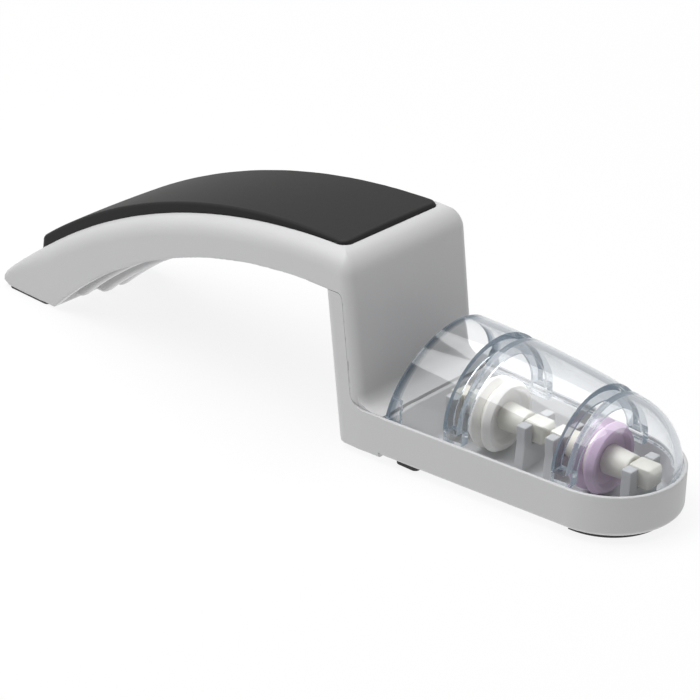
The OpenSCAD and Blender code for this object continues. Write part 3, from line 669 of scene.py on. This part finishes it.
def cover_mesh():
    """Clear shell as one closed skin: outside, inside with slot guides and lugs, edges and slots."""
    half, wall = SLOT_W / 2, SLOT_W / 2 + GUIDE_T
    n_top, n_low, n_side, n_nose = 97, 9, 12, 30
    verts, faces, painted_shade = [], [], []

    def angles(x, inset):
        """Angles of a section: even below the slots' ends and even above them."""
        lowest_top, nose_angle, halvings = SLOT_LOW + 1.5, 0.35, 40
        lo, hi = 0.0, math.pi / 2
        if cover_section(x, inset, np.array([hi]))[0, 2] < lowest_top:
            lo = nose_angle
        else:
            for _ in range(halvings):
                mid = (lo + hi) / 2
                if cover_section(x, inset, np.array([mid]))[0, 2] < SLOT_LOW:
                    lo = mid
                else:
                    hi = mid
        low = np.linspace(0, lo, n_low)
        over = np.linspace(lo, math.pi - lo, n_top)
        return np.concatenate([[0], low[:-1], over, math.pi - low[::-1][1:], [math.pi]])

    def section(xs, inset):
        """Points of the section at xs, down to the ledge."""
        ts = angles(float(np.mean(xs)), float(np.mean(inset)))
        xs = np.broadcast_to(np.asarray(xs, float), ts.shape)
        if np.ndim(inset):
            inset = np.asarray(inset)
            pts = np.array([cover_section(a, i, np.array([t]))[0] for a, i, t in zip(xs, inset, ts)])
        else:
            pts = cover_section(xs, inset, ts)
        pts[0, 2] = pts[-1, 2] = LEDGE_Z
        return pts

    def put(points):
        """Adds the points and gives their numbers."""
        start = len(verts)
        verts.extend(np.asarray(points).tolist())
        return np.arange(start, start + len(points))

    def face(ids, flip=False, edge=0.0):
        """Adds one face, with how much painted steel-blue edge shade it gets."""
        faces.append(ids[::-1] if flip else ids)
        painted_shade.append(edge)

    def band(r0, r1, flip=False, lo=0, hi=None, edge=0.0):
        """Faces between two sections."""
        for i in range(lo, len(r0) - 1 if hi is None else hi):
            face([r0[i], r0[i + 1], r1[i + 1], r1[i]], flip, edge)

    first = SLOTS[0] - wall
    mid = list(np.linspace(SLOTS[0] + wall, SLOTS[1] - wall, 16))[1:-1]
    a = n_low
    b = a + n_top - 1

    def lug(pts):
        """Extra thickness at the foot of the back edge."""
        wx = ramp(BASIN_X + LUG_W - pts[:, 0], 0, LUG_EASE_X)
        wz = ramp(LEDGE_Z + LUG_H - pts[:, 2], 0, LUG_EASE_Z)
        return COVER_T + LUG_T * wx * wz

    def side(outer):
        """Sections from the leaning back edge to the first guide."""
        start, passes, dense = 3, 5, 0.3
        base = 0.0 if outer else COVER_T
        back = section(BASIN_X + start, base)
        for _ in range(passes):
            back = section(BASIN_X + (back[:, 2] - LEDGE_Z) * math.tan(COVER_LEAN), base)
        out = []
        for u in np.concatenate([np.linspace(0, dense, n_side)[:-1], np.linspace(dense, 1, n_side)[:-1]]):
            xs = back[:, 0] * (1 - u) + first * u
            pts = section(xs, base)
            if not outer:
                pts = section(xs, lug(pts))
            out.append(pts)
        return out

    def build(outer):
        """All sections of one side, which of them start a slot, and how much painted edge shade each band gets."""
        base, deep = (0.0, 0.0) if outer else (COVER_T, GUIDE_D)
        rings = [put(pts) for pts in side(outer)]
        opened = [False] * len(rings)
        inner = [False] * len(rings)

        def add(x, inset, is_open=False):
            """Adds a section, and notes if a slot starts there."""
            rings.append(put(section(x, inset)))
            opened.append(is_open)
            inner.append(inset > COVER_T)

        for k, c in enumerate(SLOTS):
            add(c - wall, base)
            if not outer:
                add(c - wall, deep)
            add(c - half, deep, True)
            add(c + half, deep)
            if not outer:
                add(c + wall, deep)
            add(c + wall, base)
            for x in (mid if k == 0 else []):
                add(x, base)
        r = COVER_R - base
        x0 = SLOTS[1] + wall
        f0 = math.asin((x0 - NOSE_X) / r)
        for k in range(1, n_nose):
            add(NOSE_X + r * math.sin(f0 + (math.pi / 2 - f0) * k / n_nose), base)
        return rings, opened, [GUIDE_SHADE * (p or q) for p, q in zip(inner, inner[1:])]

    def skin(outer):
        """One side of the shell, open at the slots and closed at the nose."""
        shade_start, shade_fall = 1.2, 0.15
        rings, opened, guide = build(outer)
        slots = []
        for k, (r0, r1, is_open) in enumerate(zip(rings, rings[1:], opened)):
            if is_open:
                band(r0, r1, not outer, 0, a)
                band(r0, r1, not outer, b)
                slots.append((r0, r1))
            else:
                # painted edge shade, strongest at the back edge and fading over its first rings
                edge = min(1.0, shade_start - shade_fall * k) if k < EDGE_RINGS else guide[k]
                band(r0, r1, not outer, edge=edge)
        tip_x = NOSE_X + COVER_R - (0.0 if outer else COVER_T)
        axis_z = RIM_Z - (tip_x - COVER_TOP_X) * math.tan(COVER_FALL)
        pole = put([[tip_x, 0, axis_z], [tip_x, 0, LEDGE_Z]])
        last = rings[-1]
        for i in range(1, len(last) - 2):
            face([last[i], last[i + 1], pole[0]], not outer)
        face([last[0], last[1], pole[0], pole[1]], not outer)
        face([last[-2], last[-1], pole[1], pole[0]], not outer)
        return rings, slots, pole

    out_rings, out_slots, out_pole = skin(True)
    in_rings, in_slots, in_pole = skin(False)
    band(in_rings[0], out_rings[0], False, edge=1.0)
    for (o0, o1), (i0, i1) in zip(out_slots, in_slots):
        for k in range(a, b):
            face([o0[k], o0[k + 1], i0[k + 1], i0[k]], edge=SLOT_SHADE)
            face([i1[k], i1[k + 1], o1[k + 1], o1[k]], edge=SLOT_SHADE)
        for k in (a, b):
            face([o0[k], o1[k], i1[k], i0[k]], edge=SLOT_SHADE)
    # foot along the ledge, zipped between the outer and the inner edge
    near = 0.5
    for end in (0, -1):
        o = [r[end] for r in out_rings] + [out_pole[1]]
        i = [r[end] for r in in_rings] + [in_pole[1]]
        p, q = 0, 0
        while p < len(o) - 1 or q < len(i) - 1:
            ox = verts[o[min(p + 1, len(o) - 1)]][0]
            ix = verts[i[min(q + 1, len(i) - 1)]][0]
            if q == len(i) - 1 or (p < len(o) - 1 and ox <= ix + near):
                face([o[p], o[p + 1], i[q]], edge=FOOT_SHADE)
                p += 1
            else:
                face([o[p], i[q + 1], i[q]], edge=FOOT_SHADE)
                q += 1
    return np.array(verts), faces, painted_shade


cover_verts, cover_faces, cover_painted_shade = cover_mesh()
cover = mesh_from("ClearCover", cover_verts, cover_faces, CLEAR)
# each face's share of painted steel-blue edge shade, read by the clear finish
if len(cover.data.polygons) == len(cover_painted_shade):
    cover.data.attributes.new("painted_edge_shade", "FLOAT", "FACE").data.foreach_set("value", cover_painted_shade)
clean(cover, angle=28, merge=0.002)
ride(cover, "cover", "cover")


# ---------------------------------------------------------------- wheels and axles
BORE_R, HUB_R, HUB_BOSS_R, HUB_END_R, ROD_R = 2.06, 3.0, 4.2, 3.6, 2.0
GROOVE_D, GROOVE_W, RIM_LAND, RIM_FALL, FACE_W, DISH_D, DISH_W = 1.8, 1.2, 0.5, 1.0, 1.2, 1.7, 1.9
DISC_GAP, HUB_GAP, SPACER_LESS = 0.03, 0.6, 2.1
BLOCK_LESS, BLOCK_PAST, BLOCK_NOSE, BLOCK_LAP, CAP_PAST = 0.4, 3.7, 1.1, 0.3, 1.2


def wheel(prefix, c, ceramic):
    """Pair of ceramic discs on their hubs, with the spacer between them."""
    body, centre = prefix + "_wheel", (c, 0, AXLE_Z)
    inner, outer = SPACER_T / 2, SPACER_T / 2 + DISC_T
    rim, face_r, face = inner + GROOVE_W, DISC_R - RIM_FALL, outer - DISH_D
    bore = HUB_R + DISC_GAP
    disc = rounded_profile(
        [(inner, bore), (inner, DISC_R - GROOVE_D), (rim, DISC_R), (rim + RIM_LAND, DISC_R),
         (outer, face_r), (outer, face_r - FACE_W), (face, face_r - DISH_W), (face, bore)],
        [0, 0.25, 0.2, 0.25, 0.25, 0.2, 0.35, 0])
    hub_end = FORK_X - HUB_GAP
    hub = rounded_profile(
        [(inner, BORE_R), (inner, HUB_R), (face, HUB_R), (face, HUB_BOSS_R), (hub_end, HUB_END_R), (hub_end, BORE_R)],
        [0, 0, 0.1, 0.35, 0.5, 0.1])
    for flip, side in ((False, "right"), (True, "left")):
        d = turned(f"{prefix.title()}Disc{side.title()}", disc, centre, ceramic, 192, flip)
        ride(d, body, f"{prefix}_disc_{side}")
        h = turned(f"{prefix.title()}Hub{side.title()}", hub, centre, IVORY, 128, flip)
        ride(h, body, f"{prefix}_hub_{side}")
    spacer_r = DISC_R - SPACER_LESS
    ring = rounded_profile([(-inner, BORE_R), (-inner, spacer_r), (inner, spacer_r), (inner, BORE_R)], [0, 0.1, 0.1, 0])
    ride(turned(f"{prefix.title()}Spacer", ring, centre, IVORY, 128), body, prefix + "_spacer")


def axle(prefix, c):
    """Rod with its square end block, bevelled at the nose, and the square cap on the other end."""
    half = BLOCK_W / 2 - BLOCK_LESS
    start, end = c + FORK_X - BLOCK_LAP, c + FORK_X + FORK_T + BLOCK_PAST
    verts = [(x, y, AXLE_Z + z) for x, h in ((start, half), (end - BLOCK_NOSE, half), (end, half - BLOCK_NOSE))
             for y, z in ((-h, -h), (h, -h), (h, h), (-h, h))]
    faces = [[0, 1, 2, 3], [11, 10, 9, 8]]
    for s in (0, 4):
        faces += [[s + i, s + (i + 1) % 4, s + 4 + (i + 1) % 4, s + 4 + i] for i in range(4)]
    block = mesh_from(prefix + "Block", verts, faces, IVORY)
    clean(block, angle=20)
    bevelled(block, width=0.35, segments=3, angle=20)
    far_end, near_end, pole = -FORK_X - FORK_T, FORK_X - 0.2, 0.001
    rod = turned(prefix + "Rod", rounded_profile(
        [(far_end, pole), (far_end, ROD_R), (near_end, ROD_R), (near_end, pole)], [0, 0.2, 0, 0]),
        (c, 0, AXLE_Z), IVORY, 64)
    bm = bmesh.new()
    bm.from_mesh(block.data)
    bm.from_mesh(rod.data)
    bm.to_mesh(block.data)
    bm.free()
    bpy.data.objects.remove(rod)
    block.data.set_sharp_from_angle(angle=math.radians(35))
    ride(block, "housing", prefix.lower() + "_axle")
    x0, x1 = c - FORK_X - FORK_T - CAP_PAST, c - FORK_X + BLOCK_LAP
    cap = extruded(prefix + "EndCap", [(x0, -half), (x1, -half), (x1, half), (x0, half)],
                   AXLE_Z - half, AXLE_Z + half, IVORY)
    bevelled(cap, width=0.4, segments=3, angle=20)
    ride(cap, "housing", prefix.lower() + "_end_cap")


wheel("coarse", SLOTS[0], WHITE)
wheel("fine", SLOTS[1], PINK)
axle("Coarse", SLOTS[0])
axle("Fine", SLOTS[1])


# ---------------------------------------------------------------- feet and screws
TIP_FOOT_L, TIP_FOOT_H, FOOT_H, FOOT_R = 18.2, 0.8, 2.8, 1.5
MID_X0, MID_X1, MID_INSET, SHOE_OUT, SHOE_IN, FOOT_INSET = 43, 50.6, 2.3, 3.5, 7.5, 0.2


def foot(name, outline, height, node):
    """Rubber foot with softened edges."""
    obj = extruded(name, outline, 0.0, height, FOOT)
    bevelled(obj, width=0.25, segments=2, angle=40)
    ride(obj, "housing", node)


def strip(x0, x1, w0, w1):
    """Outline of a strip with rounded corners, w0 and w1 wide to each side."""
    return rounded_profile([(x0, -w0), (x1, -w1), (x1, w1), (x0, w0)], [FOOT_R] * 4, 8)


tip_x0, tip_x1 = TIP_X + TIP_LEAN, TIP_X + TIP_LEAN + TIP_FOOT_L
tip_w0, tip_w1 = (float(half_width(x)) - FOOT_INSET for x in (tip_x0, tip_x1))
foot("TipFoot", strip(tip_x0, tip_x1, tip_w0, tip_w1), TIP_FOOT_H, "tip_foot")
mid_w = float(side_y(MID_X1, MID_INSET))
foot("MidFoot", strip(MID_X0, MID_X1, mid_w, mid_w), FOOT_H, "mid_foot")
turn = np.linspace(-math.pi / 2, math.pi / 2, 49)
shoe = [(NOSE_X + r * math.cos(t), r * math.sin(t))
        for r, ts in ((NOSE_R - SHOE_OUT, turn), (NOSE_R - SHOE_IN, turn[::-1])) for t in ts]
foot("NoseFoot", shoe, FOOT_H, "nose_foot")
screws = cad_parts["housing_screws"].data.materials
screws.clear()
screws.append(STEEL)


# ---------------------------------------------------------------- floor, light, camera
FLOOR_SIZE, FLOOR_DROP = 6.0, 0.02 * MM
SHADOW_NEAR, SHADOW_FAR, SHADOW_SHARE = 0.2, 0.45, 0.14
FLOOR_GLOW, ROOM_GLOW, MIRROR_GLOW, THROUGH_GLOW = 1.08, 0.16, 0.65, 0.76
CAMERA_TURN, CAMERA_TILT, CAMERA_ROLL = math.radians(41.51), math.radians(26.68), math.radians(1.01)
CAMERA_AIM, CAMERA_AWAY = (8.73, -1.62, 15.16), 0.7
FOCAL_PIXELS, PICTURE_PIXELS, SENSOR_W = 2487.81, 700.0, 36.0
WHITE_LIGHT = (1, 1, 1, 1)


def studio_floor():
    """White floor with a faint soft shadow near the object, a plain glow upwards, and clear from below."""
    mesh = bpy.data.meshes.new("Floor")
    corners = ((-1, -1), (1, -1), (1, 1), (-1, 1))
    mesh.from_pydata([(x * FLOOR_SIZE, y * FLOOR_SIZE, -FLOOR_DROP) for x, y in corners], [], [(0, 1, 2, 3)])
    mat, tree, shader = new_material("FloorWhite")
    values_on(shader, Base_Color=(0.8, 0.8, 0.8, 1), Roughness=1.0, Specular_IOR_Level=0.0)
    coord = tree.nodes.new("ShaderNodeTexCoord")
    away = tree.nodes.new("ShaderNodeVectorMath")
    away.operation = "LENGTH"
    tree.links.new(coord.outputs["Object"], away.inputs[0])
    near = tree.nodes.new("ShaderNodeMapRange")
    values_on(near, From_Min=SHADOW_NEAR, From_Max=SHADOW_FAR, To_Min=SHADOW_SHARE, To_Max=0.0)
    tree.links.new(away.outputs["Value"], near.inputs["Value"])
    path = tree.nodes.new("ShaderNodeLightPath")
    seen = maths(tree, "MAXIMUM", path.outputs["Is Camera Ray"], path.outputs["Is Transmission Ray"])
    level = tree.nodes.new("ShaderNodeMapRange")
    values_on(level, To_Min=FLOOR_GLOW, To_Max=1.0)
    tree.links.new(seen, level.inputs["Value"])
    glow = tree.nodes.new("ShaderNodeEmission")
    tree.links.new(level.outputs["Result"], glow.inputs["Strength"])
    top = mixed(tree, maths(tree, "MULTIPLY", seen, near.outputs["Result"]), glow, shader)
    clear = tree.nodes.new("ShaderNodeBsdfTransparent")
    values_on(clear, Color=WHITE_LIGHT)
    side = tree.nodes.new("ShaderNodeNewGeometry")
    both = mixed(tree, side.outputs["Backfacing"], top, clear)
    tree.links.new(both.outputs[0], tree.nodes["Material Output"].inputs["Surface"])
    add_object("Floor", mesh, mat)


def studio_room():
    """World: white to the camera and a little less in mirrors and through glass, dim to everything else."""
    world = bpy.data.worlds.new("Studio")
    bpy.context.scene.world = world
    world.use_nodes = True
    tree = world.node_tree
    tree.nodes.clear()
    path = tree.nodes.new("ShaderNodeLightPath")
    through = maths(tree, "MULTIPLY", path.outputs["Is Transmission Ray"], THROUGH_GLOW)
    mirrored = maths(tree, "MULTIPLY", path.outputs["Is Glossy Ray"], MIRROR_GLOW)
    seen = maths(tree, "MAXIMUM", path.outputs["Is Camera Ray"], through)
    strength = tree.nodes.new("ShaderNodeMapRange")
    values_on(strength, To_Min=ROOM_GLOW, To_Max=1.0)
    tree.links.new(maths(tree, "MAXIMUM", seen, mirrored), strength.inputs["Value"])
    backdrop = tree.nodes.new("ShaderNodeBackground")
    values_on(backdrop, Color=WHITE_LIGHT)
    tree.links.new(strength.outputs["Result"], backdrop.inputs["Strength"])
    tree.links.new(backdrop.outputs[0], tree.nodes.new("ShaderNodeOutputWorld").inputs["Surface"])


def soft_box(name, place, aim, size, power):
    """Square area light aimed at a point."""
    data = bpy.data.lights.new(name, "AREA")
    data.energy, data.size = power, size
    obj = bpy.data.objects.new(name, data)
    obj.location = place
    obj.rotation_euler = (Vector(aim) - obj.location).to_track_quat("-Z", "Y").to_euler()
    bpy.context.scene.collection.objects.link(obj)


def photo_camera():
    """Camera at the photograph's angle."""
    level = math.cos(CAMERA_TILT)
    back = Vector((math.sin(CAMERA_TURN) * level, -math.cos(CAMERA_TURN) * level, math.sin(CAMERA_TILT)))
    right = Vector((math.cos(CAMERA_TURN), math.sin(CAMERA_TURN), 0))
    up = back.cross(right)
    roll_cos, roll_sin = math.cos(CAMERA_ROLL), math.sin(CAMERA_ROLL)
    right, up = right * roll_cos + up * roll_sin, up * roll_cos - right * roll_sin
    place = Vector(CAMERA_AIM) * MM + back * CAMERA_AWAY
    data = bpy.data.cameras.new("Camera")
    data.sensor_fit = "HORIZONTAL"
    data.sensor_width = SENSOR_W
    data.lens = FOCAL_PIXELS * SENSOR_W / PICTURE_PIXELS
    data.clip_start = 0.01
    camera = bpy.data.objects.new("Camera", data)
    camera.matrix_world = Matrix([tuple(row) for row in zip(right, up, back, place)] + [(0, 0, 0, 1)])
    bpy.context.scene.collection.objects.link(camera)
    bpy.context.scene.camera = camera


studio_floor()
studio_room()
soft_box("KeyFront", place=(-0.25, -0.4, 0.87), aim=(0.02, 0, 0.02), size=0.7, power=5.9)
soft_box("KeyTop", place=(-0.08, 0.16, 1.0), aim=(0, 0, 0.02), size=0.9, power=8.5)
photo_camera()
bpy.context.scene.view_settings.view_transform = "Standard"
